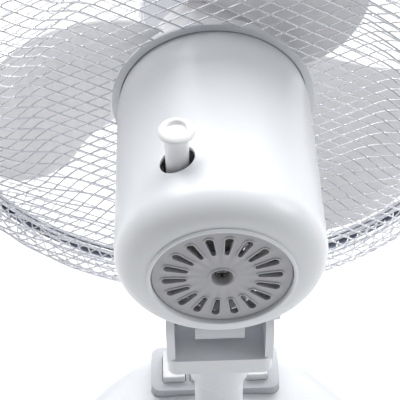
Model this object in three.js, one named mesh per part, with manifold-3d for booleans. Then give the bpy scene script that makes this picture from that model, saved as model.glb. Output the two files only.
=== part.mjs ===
// Oscillating desk fan with a 34 cm blade. Millimetres, +Z up, the air leaves towards -Y.
// The origin is on the table, under the middle of the whole fan; the round base stands behind it.
// The head (motor, guards, blade) is drawn about its own origin on the blade axis:
// +Y points to the rear vent, -Y to the front guard.
import * as THREE from 'three';
import { mergeVertices } from 'three/addons/utils/BufferGeometryUtils.js';
import Module from 'manifold-3d';

const wasm = await Module();
wasm.setup();

// ---------- driving dimensions ----------
const GAP = 0.3;                // clearance between touching pieces
const AXIS_Z = 310;             // blade axis above the table
const BASE_Y = 30;              // middle of the round base and its column
const SWIVEL_Y = 16;            // oscillation axis, in the head's frame
const HEAD_Y = BASE_Y - SWIVEL_Y;

const COVER_R = 58;             // motor cover, outside
const COVER_WALL = 2.2;
const COVER_REAR_Y = 62;        // flat rear of the cover
const SHOULDER_R = 17;          // rounding of the rear edge
const DOME_Y = -60;             // centre of the spherical front end
const DOME_END_Y = -85;
const VENT_R = 38.2;            // opening for the vent disc
const VENT_SLOTS = 18;

const GUARD_R = 180;            // centre line of the rim wires
const GUARD_WIRE = 2.4;         // square section of the coarse guard bars
const GUARD_RIBS = 12;
const REAR_RIM_Y = -95;
const FRONT_RIM_Y = -99;
const HUB_RING_R = 61.6;        // outside of the guard's centre plate

const BLADES = 3;
const BLADE_TIP_R = 168;
const BLADE_HUB_R = 38.5;
const BLADE_THICK = 2.4;

const SHAFT_R = 4;
const TILT_Z = -90;             // tilt axis below the blade axis
const CLUTCH_X = 22.1;          // clutch rod, worm wheel and knob
const CLUTCH_Y = 24.9;
const CRANK_X = 4;
const CRANK_Y = 36;
const CRANK_PIN_X = 11.1;
const CRANK_PIN_Y = 39.7;
const LINK_POST_X = 10;
const LINK_POST_Y = 24.4;

const BASE_R = 118;
const FOOT_H = 3;
const COLUMN_R = 16;
const CHEEK_X = 27.5;           // inside faces of the neck fork
const CHEEK_T = 5;
const BUTTON_PITCH = 21;
const BUTTON_Y = -83;
const PANEL_TOP = 37;

// ---------- colours and finishes ----------
const finish = (color, roughness, metalness = 0) => ({ color, roughness, metalness });
const WHITE = finish(0xf2f5f8, 0.25);
const PALE = finish(0xd8dadd, 0.4);
const WIRE = finish(0xe6e8ec, 0.3, 0.6);
const STEEL = finish(0xa8abb0, 0.35, 1);
const CAST = finish(0x8f9399, 0.55, 0.8);
const COPPER = finish(0xb07a3c, 0.4, 0.6);
const BRONZE = finish(0xb8893a, 0.5, 0.9);
const NYLON = finish(0xe8e2d0, 0.5);
const DARK = finish(0x2b2d30, 0.6);
const RUBBER = finish(0x1c1c1e, 0.8);
const SLATE = finish(0x4a5060, 0.45);

// ---------- solids ----------
const toSolid = (geometry) => {
  const bare = geometry.clone();
  bare.deleteAttribute('normal');
  bare.deleteAttribute('uv');
  const merged = mergeVertices(bare, 1e-4);
  const p = merged.attributes.position.array;
  const source = merged.index.array;
  const kept = [];
  let volume = 0;
  for (let i = 0; i < source.length; i += 3) {
    const [a, b, c] = [source[i], source[i + 1], source[i + 2]];
    if (a === b || b === c || c === a) continue;
    kept.push(a, b, c);
    const [ax, ay, az] = [p[3 * a], p[3 * a + 1], p[3 * a + 2]];
    const [bx, by, bz] = [p[3 * b], p[3 * b + 1], p[3 * b + 2]];
    const [cx, cy, cz] = [p[3 * c], p[3 * c + 1], p[3 * c + 2]];
    volume += ax * (by * cz - bz * cy) + ay * (bz * cx - bx * cz) + az * (bx * cy - by * cx);
  }
  if (volume < 0) kept.reverse();
  const mesh = { numProp: 3, vertProperties: new Float32Array(p), triVerts: new Uint32Array(kept) };
  return new wasm.Manifold(new wasm.Mesh(mesh));
};

const toGeometry = (solid) => {
  const mesh = solid.getMesh();
  const geometry = new THREE.BufferGeometry();
  geometry.setAttribute('position', new THREE.BufferAttribute(mesh.vertProperties, 3));
  geometry.setIndex(new THREE.BufferAttribute(mesh.triVerts, 1));
  geometry.computeVertexNormals();
  return geometry;
};

const join = (first, ...others) => others.reduce((sum, next) => sum.add(next), first);
const cut = (first, ...tools) => tools.reduce((rest, tool) => rest.subtract(tool), first);

const closed = (profile) => [...profile, profile[0]];
const latheY = (profile, segments) => {
  const points = profile.map(([r, y]) => new THREE.Vector2(r, y));
  return new THREE.LatheGeometry(points, segments);
};
// Turned about Y, the head's blade axis. A ring's profile closes on itself.
const turnedY = (profile, segments = 32) => toSolid(latheY(profile, segments));
const ringY = (profile, segments = 32) => turnedY(closed(profile), segments);
// Turned about a vertical line through (x, y); the profile's second number is the height.
const turnedZ = (profile, segments = 32, x = 0, y = 0) =>
  toSolid(latheY(profile, segments).rotateX(Math.PI / 2).translate(x, y, 0));
const ringZ = (profile, segments = 32, x = 0, y = 0) => turnedZ(closed(profile), segments, x, y);

const rodY = (r, y0, y1, segments = 16, x = 0, z = 0) => toSolid(
  new THREE.CylinderGeometry(r, r, y1 - y0, segments).translate(x, (y0 + y1) / 2, z));
const rodZ = (r, z0, z1, segments = 16, x = 0, y = 0) => toSolid(
  new THREE.CylinderGeometry(r, r, z1 - z0, segments).rotateX(Math.PI / 2).translate(x, y, (z0 + z1) / 2));
const rodX = (r, x0, x1, segments = 16, y = 0, z = 0) => toSolid(
  new THREE.CylinderGeometry(r, r, x1 - x0, segments).rotateZ(Math.PI / 2).translate((x0 + x1) / 2, y, z));
const block = (x0, x1, y0, y1, z0, z1) => toSolid(
  new THREE.BoxGeometry(x1 - x0, y1 - y0, z1 - z0)
    .translate((x0 + x1) / 2, (y0 + y1) / 2, (z0 + z1) / 2));

const roundedOutline = (halfX, halfY, r) => {
  const shape = new THREE.Shape();
  shape.moveTo(-halfX + r, -halfY);
  shape.lineTo(halfX - r, -halfY);
  shape.absarc(halfX - r, -halfY + r, r, -Math.PI / 2, 0);
  shape.lineTo(halfX, halfY - r);
  shape.absarc(halfX - r, halfY - r, r, 0, Math.PI / 2);
  shape.lineTo(-halfX + r, halfY);
  shape.absarc(-halfX + r, halfY - r, r, Math.PI / 2, Math.PI);
  shape.lineTo(-halfX, -halfY + r);
  shape.absarc(-halfX + r, -halfY + r, r, Math.PI, 1.5 * Math.PI);
  return shape;
};
const extruded = (shape, depth, curveSegments = 4) =>
  new THREE.ExtrudeGeometry(shape, { depth, bevelEnabled: false, curveSegments });
const roundedBlock = (x0, x1, y0, y1, z0, z1, r) => toSolid(
  extruded(roundedOutline((x1 - x0) / 2, (y1 - y0) / 2, r), z1 - z0)
    .translate((x0 + x1) / 2, (y0 + y1) / 2, z0));

// Points of an arc in a turned profile, angle 0 pointing away from the axis.
const arc = (cr, cy, radius, from, to, steps) => Array.from({ length: steps + 1 }, (_, i) => {
  const a = from + ((to - from) * i) / steps;
  return [cr + radius * Math.cos(a), cy + radius * Math.sin(a)];
});

// ---------- scene graph ----------
const root = new THREE.Group();
const head = new THREE.Group();
head.position.set(0, HEAD_Y, AXIS_Z);
root.add(head);
const base = new THREE.Group();
base.position.set(0, BASE_Y, 0);
root.add(base);

const add = (parent, name, solid, look) => {
  const material = new THREE.MeshStandardMaterial(look);
  const mesh = new THREE.Mesh(toGeometry(solid), material);
  mesh.name = name;
  parent.add(mesh);
};

// ---------- motor cover and vent ----------
const motorCover = () => {
  const inside = COVER_R - COVER_WALL;
  const shoulderY = COVER_REAR_Y - SHOULDER_R;
  const shoulderR = COVER_R - SHOULDER_R;
  const sweep = Math.asin((DOME_Y - DOME_END_Y) / COVER_R);
  const innerSweep = Math.asin((DOME_Y - DOME_END_Y) / inside);
  const lipY = COVER_REAR_Y - COVER_WALL;
  const shell = ringY([
    [VENT_R, lipY],
    [VENT_R, COVER_REAR_Y + 1],
    [VENT_R + 2.2, COVER_REAR_Y + 1],
    ...arc(shoulderR, shoulderY, SHOULDER_R, Math.PI / 2, 0, 4),
    ...arc(0, DOME_Y, COVER_R, 0, -sweep, 3),
    ...arc(0, DOME_Y, inside, -innerSweep, 0, 3),
    ...arc(shoulderR, shoulderY, SHOULDER_R - COVER_WALL, 0, Math.PI / 2, 4),
  ], 36);
  const knobHole = rodZ(9.3, 20, 90, 20, CLUTCH_X, CLUTCH_Y);
  const neckHole = rodZ(26, -80, -30, 24, 0, SWIVEL_Y);
  return cut(shell, knobHole, neckHole);
};

const SLOT_INNER_R = 19;
const SLOT_OUTER_R = 32.5;
const ventSlot = (angle) => {
  const shape = new THREE.Shape();
  const narrow = 1.3;
  const wide = 2.2;
  shape.moveTo(SLOT_INNER_R + narrow, -narrow);
  shape.lineTo(SLOT_OUTER_R - wide, -wide);
  shape.absarc(SLOT_OUTER_R - wide, 0, wide, -Math.PI / 2, Math.PI / 2);
  shape.lineTo(SLOT_INNER_R + narrow, narrow);
  shape.absarc(SLOT_INNER_R + narrow, 0, narrow, Math.PI / 2, 1.5 * Math.PI);
  const geometry = extruded(shape, 12, 2).translate(0, 0, -6).rotateX(Math.PI / 2);
  return toSolid(geometry.rotateY(angle).translate(0, 59, 0));
};
const ventDisc = () => {
  const disc = ringY([
    [2.3, 55], [7.4, 55], [7.8, 58], [37.9, 58], [37.9, 57.6], [41.5, 57.6],
    [41.5, 59.5], [37.9, 59.5], [37.9, 60.2], [6.2, 60.2], [5.6, 57], [2.3, 57],
  ], 36);
  const firstSlot = THREE.MathUtils.degToRad(-7);
  const slots = Array.from({ length: VENT_SLOTS }, (_, i) =>
    ventSlot(Math.PI / 2 + firstSlot + (2 * Math.PI * i) / VENT_SLOTS));
  return cut(disc, ...slots);
};
const coverScrew = () => turnedY([
  [0, 46], [2, 46], [2, 57.3], [4.5, 57.3], [4.5, 58.6], [3, 59.6], [0, 59.6]], 12);

add(head, 'motor_cover', motorCover(), WHITE);
add(head, 'rear_vent_disc', ventDisc(), PALE);
add(head, 'cover_screw', coverScrew(), STEEL);

// ---------- motor ----------
const CORE_FRONT_Y = -45.7;
const CORE_REAR_Y = -14.3;
const BOLT_R = 1.8;
const BOLT_CIRCLE = 42.4;
const boltPlaces = [45, 135, 225, 315].map((deg) => {
  const a = THREE.MathUtils.degToRad(deg);
  return [BOLT_CIRCLE * Math.cos(a), BOLT_CIRCLE * Math.sin(a)];
});
const frontBracket = () => ringY([
  [47, -46], [47, -72], [40, -80], [34, -86.3], [15, -86.3], [15, -98], [9.2, -98],
  [9.2, -83.8], [33, -83.8], [38, -78.4], [44.6, -71], [44.6, -46],
]);
const rearBracket = () => ringY([
  [47, -14], [47, 1], [43, 6.8], [9.2, 6.8], [9.2, 4.6], [42, 4.6], [44.6, 0.5], [44.6, -14],
]);
const statorCore = () => {
  const ring = ringY([
    [38.3, CORE_FRONT_Y], [46.8, CORE_FRONT_Y], [46.8, CORE_REAR_Y], [38.3, CORE_REAR_Y]], 24);
  const holes = boltPlaces.map(([x, z]) => rodY(BOLT_R + GAP, -60, 0, 8, x, z));
  return cut(ring, ...holes);
};
const winding = () => ringY([
  [26, -62], [38, -62], [38, 1], [26, 1],
], 24);
const windingEnds = (solid) => join(solid,
  ringY([[30, -62], [36, -64], [37.5, -62], [37.5, -48], [30, -48]], 24),
  ringY([[30, -12], [37.5, -12], [37.5, 1], [36, 3.4], [30, 1]], 24));

add(head, 'motor_front_bracket', frontBracket(), CAST);
add(head, 'motor_rear_bracket', rearBracket(), CAST);
add(head, 'stator_core', statorCore(), STEEL);
add(head, 'stator_winding', windingEnds(winding()), COPPER);
boltPlaces.forEach(([x, z], i) => {
  const bolt = rodY(BOLT_R, -49, -11, 8, x, z);
  add(head, `motor_bolt_${i + 1}`, bolt, STEEL);
});

const bush = (y0, y1) => ringY([[SHAFT_R + GAP, y0], [8.9, y0], [8.9, y1], [SHAFT_R + GAP, y1]], 16);
add(head, 'front_bush', bush(-97, -86), BRONZE);
add(head, 'rear_bush', bush(-0.5, 6.6), BRONZE);

// ---------- gearbox ----------
const BOX_X = [-12, 43];
const BOX_Y = [7.6, 53];
const BOX_FLOOR_Z = -21;
const BOX_TOP_Z = 11;
const BOX_WALL = 2;
const LEG_R = 7.8;
const POST_R = 6;
const POST_TOP_Z = -26;
const gearboxCase = () => {
  const outer = roundedBlock(...BOX_X, ...BOX_Y, BOX_FLOOR_Z, BOX_TOP_Z, 6);
  const hollow = roundedBlock(BOX_X[0] + BOX_WALL, BOX_X[1] - BOX_WALL, BOX_Y[0] + BOX_WALL,
    BOX_Y[1] - BOX_WALL, BOX_FLOOR_Z + BOX_WALL, BOX_TOP_Z + 5, 4);
  const leg = rodZ(LEG_R, -46, BOX_FLOOR_Z + 1, 20, 0, SWIVEL_Y);
  const post = rodZ(POST_R + GAP, -50, POST_TOP_Z, 20, 0, SWIVEL_Y);
  const shaftHole = rodY(5.2, 0, 14, 16);
  const screwHole = rodY(2.3, 48, 60, 12);
  const crankHole = rodZ(3.3, -30, -15, 12, CRANK_X, CRANK_Y);
  return cut(join(cut(outer, hollow), leg), post, shaftHole, screwHole, crankHole);
};
const gearboxLid = () => cut(
  roundedBlock(...BOX_X, ...BOX_Y, BOX_TOP_Z + GAP, BOX_TOP_Z + 2.3, 6),
  rodZ(3, 0, 30, 12, CLUTCH_X, CLUTCH_Y));
const capacitor = () => roundedBlock(-41, -16, 14, 46, -9, 15, 3);
const swivelPost = () => rodZ(POST_R, -104, POST_TOP_Z - GAP, 20, 0, SWIVEL_Y);

add(head, 'gearbox_case', gearboxCase(), CAST);
add(head, 'gearbox_lid', gearboxLid(), CAST);
add(head, 'capacitor', capacitor(), DARK);
add(head, 'swivel_post', swivelPost(), STEEL);

// A gear blank with square-cut teeth; the teeth stop short of the mating piece.
const gear = (teeth, rootR, tipR, boreR, z0, z1, x, y) => {
  const shape = new THREE.Shape();
  const step = (2 * Math.PI) / teeth;
  for (let i = 0; i < teeth; i++) {
    [[0, rootR], [0.15, tipR], [0.45, tipR], [0.6, rootR]].forEach(([part, r], k) => {
      const a = (i + part) * step;
      const point = [r * Math.cos(a), r * Math.sin(a)];
      if (i + k === 0) shape.moveTo(...point);
      else shape.lineTo(...point);
    });
  }
  shape.closePath();
  const blank = toSolid(extruded(shape, z1 - z0).translate(x, y, z0));
  return boreR ? cut(blank, rodZ(boreR, z0 - 1, z1 + 1, 12, x, y)) : blank;
};
const CLUTCH_R = 2.5;
const PINION_R = 7.5;
const CRANK_GEAR_R = 13;
const crankGear = () => join(
  gear(20, CRANK_GEAR_R - 1.6, CRANK_GEAR_R, 0, -17, -11, CRANK_X, CRANK_Y),
  rodZ(3, -25, -16, 12, CRANK_X, CRANK_Y),
  rodZ(10.4, -27, -24, 16, CRANK_X, CRANK_Y),
  rodZ(2, -30, -26, 10, CRANK_PIN_X, CRANK_PIN_Y));
const linkBar = () => {
  const dx = CRANK_PIN_X - LINK_POST_X;
  const dy = CRANK_PIN_Y - LINK_POST_Y;
  const length = Math.hypot(dx, dy);
  const bar = new THREE.BoxGeometry(length, 5, 3)
    .rotateZ(Math.atan2(dy, dx))
    .translate((CRANK_PIN_X + LINK_POST_X) / 2, (CRANK_PIN_Y + LINK_POST_Y) / 2, -32);
  const eyes = [[LINK_POST_X, LINK_POST_Y, 4.9], [CRANK_PIN_X, CRANK_PIN_Y, 4.4]];
  const solid = join(toSolid(bar), ...eyes.map(([x, y, r]) => rodZ(r, -33.5, -30.5, 16, x, y)));
  return cut(solid, rodZ(3.3, -40, -20, 12, LINK_POST_X, LINK_POST_Y),
    rodZ(2.3, -40, -20, 10, CRANK_PIN_X, CRANK_PIN_Y));
};
const wormWheel = () => gear(32, 13.6, 14.9, CLUTCH_R + GAP, -4, 4, CLUTCH_X, CLUTCH_Y);
const clutchPinion = () => gear(12, PINION_R - 1.4, PINION_R, CLUTCH_R + GAP, -17, -11, CLUTCH_X, CLUTCH_Y);
add(head, 'worm_wheel', wormWheel(), NYLON);
add(head, 'clutch_pinion', clutchPinion(), STEEL);
add(head, 'crank_gear', crankGear(), NYLON);
add(head, 'oscillation_link', linkBar(), STEEL);

// ---------- knob, drawn up: the head stands still ----------
const KNOB_TOP_Z = 76.3;
const knob = () => {
  const body = turnedZ([
    [0, 46], [6.2, 46], [6.5, 70.5], [7.4, 72], [9.4, 72.8], [9.6, 74], [8.4, KNOB_TOP_Z - 0.8],
    [6.2, KNOB_TOP_Z], [5.2, KNOB_TOP_Z - 0.3], [4.9, KNOB_TOP_Z - 1.7], [0, KNOB_TOP_Z - 2.1],
  ], 24, CLUTCH_X, CLUTCH_Y);
  return cut(body, rodZ(CLUTCH_R + GAP, 40, 62, 12, CLUTCH_X, CLUTCH_Y));
};
add(head, 'oscillation_knob', knob(), WHITE);
add(head, 'clutch_rod', rodZ(CLUTCH_R, -9, 61.5, 12, CLUTCH_X, CLUTCH_Y), STEEL);

// ---------- rotor, shaft and blade ----------
const PIN_Y = -112;
const shaft = () => cut(rodY(SHAFT_R, -140, 42, 16), rodX(1.8, -9, 9, 8, PIN_Y));
const WORM_R = 6.8;
const worm = () => ringY([[SHAFT_R + GAP, 18], [WORM_R, 18], [WORM_R, 34], [SHAFT_R + GAP, 34]], 16);
const rotorCore = () => ringY([
  [SHAFT_R + GAP, -48], [24.5, -48], [24.5, -12], [SHAFT_R + GAP, -12]], 24);
const bladeNut = () => turnedY([
  [0, -147], [11, -145], [15, -138], [15, -133],
  [SHAFT_R + GAP, -133], [SHAFT_R + GAP, -140.5], [0, -140.5]], 20);

// One blade: a twisted, swept sheet. u runs from the hub to the tip, v from the
// leading (rear) edge to the trailing (front) edge.
const BLADE_START = 61.5;       // direction of the first blade's root, degrees
const ROOT_WIDTH = 113;         // angles, degrees
const TIP_WIDTH = 36;
const LEAN = -6.5;              // the middle line leans back, then sweeps on with the square of u
const SWEEP = 40;
const ROOT_RISE = 31;           // axial depth from leading to trailing edge
const TIP_RISE = 66;
const ROOT_MID_Y = -115;
const TIP_MID_Y = -105;
const ROUND_FROM = 0.78;        // the tip's corners are rounded beyond this
const ROUND_SHARE = 0.87;
const bladePoint = (u, v, turn) => {
  const r = BLADE_HUB_R - 1.2 + (BLADE_TIP_R - BLADE_HUB_R + 1.2) * u;
  const corner = Math.max(0, (u - ROUND_FROM) / (1 - ROUND_FROM));
  const inset = ROUND_SHARE * (1 - Math.sqrt(Math.max(0, 1 - corner * corner)));
  const width = ROOT_WIDTH + (TIP_WIDTH - ROOT_WIDTH) * u;
  const across = (v - 0.5) * (1 - inset);
  const rise = ROOT_RISE + (TIP_RISE - ROOT_RISE) * u;
  const angle = THREE.MathUtils.degToRad(BLADE_START + turn + LEAN * u + SWEEP * u * u + width * across);
  const middle = ROOT_MID_Y + (TIP_MID_Y - ROOT_MID_Y) * u;
  return new THREE.Vector3(-r * Math.cos(angle), middle - rise * across, r * Math.sin(angle));
};
const bladeSheet = (turn) => {
  const across = 8;
  const along = 8;
  const positions = [];
  const index = [];
  const at = (side, i, j) => (side * (along + 1) + i) * (across + 1) + j;
  for (const side of [0, 1]) {
    for (let i = 0; i <= along; i++) {
      for (let j = 0; j <= across; j++) {
        const p = bladePoint(i / along, j / across, turn);
        positions.push(p.x, p.y + (side - 0.5) * BLADE_THICK, p.z);
      }
    }
  }
  const quad = (a, b, c, d) => index.push(a, b, c, a, c, d);
  for (let i = 0; i < along; i++) {
    for (let j = 0; j < across; j++) {
      quad(at(0, i, j), at(0, i + 1, j), at(0, i + 1, j + 1), at(0, i, j + 1));
      quad(at(1, i, j), at(1, i, j + 1), at(1, i + 1, j + 1), at(1, i + 1, j));
    }
    quad(at(0, i, 0), at(1, i, 0), at(1, i + 1, 0), at(0, i + 1, 0));
    quad(at(0, i, across), at(0, i + 1, across), at(1, i + 1, across), at(1, i, across));
  }
  for (let j = 0; j < across; j++) {
    quad(at(0, 0, j), at(0, 0, j + 1), at(1, 0, j + 1), at(1, 0, j));
    quad(at(0, along, j), at(1, along, j), at(1, along, j + 1), at(0, along, j + 1));
  }
  const geometry = new THREE.BufferGeometry();
  geometry.setAttribute('position', new THREE.Float32BufferAttribute(positions, 3));
  geometry.setIndex(index);
  return toSolid(geometry);
};
const fanBlade = () => {
  const hub = ringY([
    [SHAFT_R + GAP, -104], [9, -104], [9, -130], [34, -128], [36.2, -123], [36.2, -95],
    [BLADE_HUB_R, -95], [BLADE_HUB_R, -125], [35.5, -131], [9, -132.6], [SHAFT_R + GAP, -132.6],
  ], 36);
  const sheets = Array.from({ length: BLADES }, (_, i) => bladeSheet((360 * i) / BLADES));
  const core = rodY(36.2, -134, -90, 36);
  const trimmed = sheets.map((sheet) => cut(sheet, core));
  const pinSlot = block(-8.6, 8.6, PIN_Y - 1.9, -100, -1.9, 1.9);
  return cut(join(hub, ...trimmed), pinSlot);
};
add(head, 'motor_shaft', shaft(), STEEL);
add(head, 'drive_worm', worm(), STEEL);
add(head, 'rotor_core', rotorCore(), STEEL);
add(head, 'drive_pin', rodX(1.5, -8, 8, 8, PIN_Y), STEEL);
add(head, 'fan_blade', fanBlade(), PALE);
add(head, 'blade_nut', bladeNut(), PALE);

// ---------- guards ----------
const REAR_PROFILE = [
  [59.8, -74], [103, -74], [127, -62], [164, -62],
  ...arc(164, -78, 16, Math.PI / 2, 0, 3).slice(1), [GUARD_R, REAR_RIM_Y],
];
const FRONT_PROFILE = [
  [45, -157], [105, -154], [156, -146],
  ...arc(156, -122, 24, -Math.PI / 2, 0, 3).slice(1), [GUARD_R, FRONT_RIM_Y],
];
const guardRib = (profile, angle) => {
  const half = GUARD_WIRE / 2;
  const side = (sign) => profile.map(([r, y], i) => {
    const [r0, y0] = profile[Math.max(0, i - 1)];
    const [r1, y1] = profile[Math.min(profile.length - 1, i + 1)];
    const length = Math.hypot(r1 - r0, y1 - y0);
    return new THREE.Vector2(r - (sign * half * (y1 - y0)) / length, y + (sign * half * (r1 - r0)) / length);
  });
  const shape = new THREE.Shape([...side(1), ...side(-1).reverse()]);
  return toSolid(extruded(shape, GUARD_WIRE).translate(0, 0, -half).rotateY(angle));
};
const guardRing = ([r, y], size = GUARD_WIRE) => {
  const h = size / 2;
  return ringY([[r - h, y - h], [r + h, y - h], [r + h, y + h], [r - h, y + h]], 36);
};
const guard = (profile, rings) => {
  const ribs = Array.from({ length: GUARD_RIBS }, (_, i) =>
    guardRib(profile, (2 * Math.PI * (i + 0.5)) / GUARD_RIBS));
  return join(...rings.map((ring) => guardRing(ring, 2.8)), ...ribs);
};
const hubPlate = () => ringY([
  [HUB_RING_R - 3.4, -75.4], [HUB_RING_R - 4.2, -73], [57.8, -72.6],
  [53.4, -86.6], [15.5, -86.6], [15.5, -88], [54.4, -88],
], 36);
const ringNut = () => ringY([[15.3, -96], [24, -96], [26, -94], [26, -88.3], [15.3, -88.3]], 24);
const band = () => {
  const strap = ringY([[182.1, -102.5], [184, -102.5], [184, -91.5], [182.1, -91.5]], 64);
  const split = block(-3, 3, -110, -85, -190, -170);
  const lug = (x0, x1) => block(x0, x1, -102, -92, -193, -182.6);
  const screwHole = rodX(2.2, -20, 20, 10, -97, -188.5);
  return cut(join(cut(strap, split), lug(-6, -3), lug(3, 6)), screwHole);
};
const bandScrew = () => join(rodX(1.9, -9, 6.4, 10, -97, -188.5), rodX(3.4, 6.3, 8.6, 10, -97, -188.5));
const badge = () => turnedY([[0, -162], [30, -161.2], [43, -158.8], [43, -158.5], [0, -158.5]], 32);

add(head, 'guard_hub_plate', hubPlate(), WHITE);
add(head, 'guard_ring_nut', ringNut(), SLATE);
add(head, 'rear_guard', guard(REAR_PROFILE, [[59.8, -74], [127, -62], [GUARD_R, REAR_RIM_Y]]), WIRE);
add(head, 'front_guard', guard(FRONT_PROFILE, [[45, -157], [156, -146], [GUARD_R, FRONT_RIM_Y]]), WIRE);
add(head, 'guard_band', band(), SLATE);
add(head, 'band_screw', bandScrew(), STEEL);
add(head, 'front_badge', badge(), WHITE);

// ---------- tilt block, below the motor cover ----------
const BLOCK_HALF_X = 15;
const tiltBlock = () => {
  const barrel = rodX(17, -BLOCK_HALF_X, BLOCK_HALF_X, 28, SWIVEL_Y, TILT_Z);
  const neck = rodZ(13, TILT_Z, -66, 24, 0, SWIVEL_Y);
  const flange = rodZ(20, -66.5, -63, 28, 0, SWIVEL_Y);
  const bore = rodZ(POST_R + GAP, -104.5, -50, 20, 0, SWIVEL_Y);
  const boltHole = (x0, x1) => rodX(4.3, x0, x1, 16, SWIVEL_Y, TILT_Z);
  const postHole = rodZ(3.3, -70, -55, 12, LINK_POST_X, LINK_POST_Y);
  return cut(join(barrel, neck, flange), bore, postHole,
    boltHole(6, 20), boltHole(-20, -6));
};
const linkPost = () => rodZ(3, -69.7, -29.6, 12, LINK_POST_X, LINK_POST_Y);
const tiltBush = (x0, x1) => cut(
  rodX(8, x0, x1, 16, SWIVEL_Y, TILT_Z),
  rodX(4.3, x0 - 1, x1 + 1, 12, SWIVEL_Y, TILT_Z));
const setScrew = () => rodY(2, SWIVEL_Y + POST_R + 0.6, SWIVEL_Y + 19, 10, 0, -76);

add(head, 'tilt_block', cut(tiltBlock(), rodY(2.3, SWIVEL_Y, SWIVEL_Y + 30, 10, 0, -76)), PALE);
add(head, 'swivel_set_screw', setScrew(), STEEL);
add(head, 'link_post', linkPost(), STEEL);
add(head, 'tilt_bush_left', tiltBush(BLOCK_HALF_X + GAP, CHEEK_X - GAP), DARK);
add(head, 'tilt_bush_right', tiltBush(-CHEEK_X + GAP, -BLOCK_HALF_X - GAP), DARK);

// ---------- neck fork ----------
const CHEEK_R = 21;
const FORK_FLOOR_Z = -113;
const COLUMN_TOP_Z = -120;
const neckFork = () => {
  const outside = CHEEK_X + CHEEK_T;
  const cheek = (x0) => join(
    rodX(CHEEK_R, x0, x0 + CHEEK_T, 28, SWIVEL_Y, TILT_Z),
    block(x0, x0 + CHEEK_T, SWIVEL_Y - CHEEK_R, SWIVEL_Y + CHEEK_R, FORK_FLOOR_Z - 2, TILT_Z));
  const floor = roundedBlock(-outside, outside, SWIVEL_Y - CHEEK_R, SWIVEL_Y + CHEEK_R,
    FORK_FLOOR_Z - 14, FORK_FLOOR_Z, 4);
  const sleeve = turnedZ([[0, -152], [19, -152], [20, -149], [21, -126], [0, -126]], 28, 0, SWIVEL_Y);
  const socket = rodZ(COLUMN_R + GAP, -160, COLUMN_TOP_Z + GAP, 24, 0, SWIVEL_Y);
  const bolt = rodX(4.3, -50, 50, 16, SWIVEL_Y, TILT_Z);
  const headRecess = rodX(7.3, outside - 2.2, outside + 2, 20, SWIVEL_Y, TILT_Z);
  return cut(join(floor, sleeve, cheek(CHEEK_X), cheek(-outside)), socket, bolt, headRecess);
};
const tiltBolt = (from, to) => rodX(4, from, to, 16, SWIVEL_Y, TILT_Z);
const leftBolt = () => join(tiltBolt(6.4, 31), rodX(7, 30.6, 32.4, 20, SWIVEL_Y, TILT_Z));
const rightBolt = () => join(tiltBolt(-33, -6.4), rodX(6.6, -37.4, -32.8, 6, SWIVEL_Y, TILT_Z));

add(head, 'neck_fork', neckFork(), WHITE);
add(head, 'tilt_pin_left', leftBolt(), STEEL);
add(head, 'tilt_pin_right', rightBolt(), STEEL);

// ---------- column and base ----------
const SKIN = 2.5;
const PANEL_HALF_X = 49;
const PANEL_Y = [-103, -63];
const column = () => ringZ([
  [COLUMN_R - 2, 6], [26, 6], [26, 8.5], [COLUMN_R, 8.5],
  [COLUMN_R, AXIS_Z + COLUMN_TOP_Z], [COLUMN_R - 2, AXIS_Z + COLUMN_TOP_Z],
], 24);
const collar = () => ringZ([
  [COLUMN_R + GAP, 34.3], [COLUMN_R + 9, 34.3], [COLUMN_R + 8, 38], [COLUMN_R + 2, 47], [COLUMN_R + GAP, 47],
], 24);
const baseCover = () => {
  const shell = ringZ([
    [BASE_R - SKIN, 3.3], [BASE_R, 3.3], [BASE_R, 16], [BASE_R - 3, 19.5], [BASE_R - 10, 22],
    [60, 31], [COLUMN_R + 0.4, 34], [COLUMN_R + 0.4, 34 - SKIN],
    [60, 31 - SKIN], [BASE_R - 11, 22 - SKIN], [BASE_R - 5, 18], [BASE_R - SKIN, 15],
  ], 56);
  const panelHole = roundedBlock(-PANEL_HALF_X - GAP, PANEL_HALF_X + GAP, PANEL_Y[0] - GAP,
    PANEL_Y[1] + GAP, 8, 60, 8);
  const cableHole = rodY(4.3, 100, 130, 14, 0, 10.7);
  return cut(shell, panelHole, cableHole);
};
const FOOT_PLACES = [[65, 65], [-65, 65], [-65, -65], [65, -65]];
const basePlate = () => {
  const plate = rodZ(BASE_R - SKIN - GAP, 3.3, 5.3, 56);
  return cut(plate, ...FOOT_PLACES.map(([x, y]) => rodZ(3.3, 0, 10, 12, x, y)));
};
const foot = (x, y) => turnedZ([[0, 0], [8, 0], [9, 1], [9, FOOT_H], [3, FOOT_H], [3, 7], [0, 7]], 16, x, y);
const weight = () => ringZ([[30, 5.6], [62, 5.6], [62, 20], [30, 20]], 32);
const buttonX = (i) => (i - 1.5) * BUTTON_PITCH;
const switchPanel = () => {
  const outer = roundedBlock(-PANEL_HALF_X, PANEL_HALF_X, ...PANEL_Y, 8, PANEL_TOP, 7.7);
  const hollow = roundedBlock(-PANEL_HALF_X + 2, PANEL_HALF_X - 2, PANEL_Y[0] + 2, PANEL_Y[1] - 2,
    0, PANEL_TOP - SKIN, 5.7);
  const slots = [0, 1, 2, 3].map((i) => roundedBlock(buttonX(i) - 9, buttonX(i) + 9,
    BUTTON_Y - 13, BUTTON_Y + 13, 20, 50, 2.4));
  return cut(outer, hollow, ...slots);
};
const button = (i) => roundedBlock(
  buttonX(i) - 8.7, buttonX(i) + 8.7, BUTTON_Y - 12.7, BUTTON_Y + 12.7, 23, 43, 2.1);
const switchBlock = () => block(-42, 42, BUTTON_Y - 11, BUTTON_Y + 11, 7, 17.5);
const grommet = () => ringY([
  [2.8, 109], [5, 109], [5, 114.8], [4, 114.8], [4, 117.6], [2.8, 117.6]], 14).translate([0, 0, 10.7]);

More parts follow.
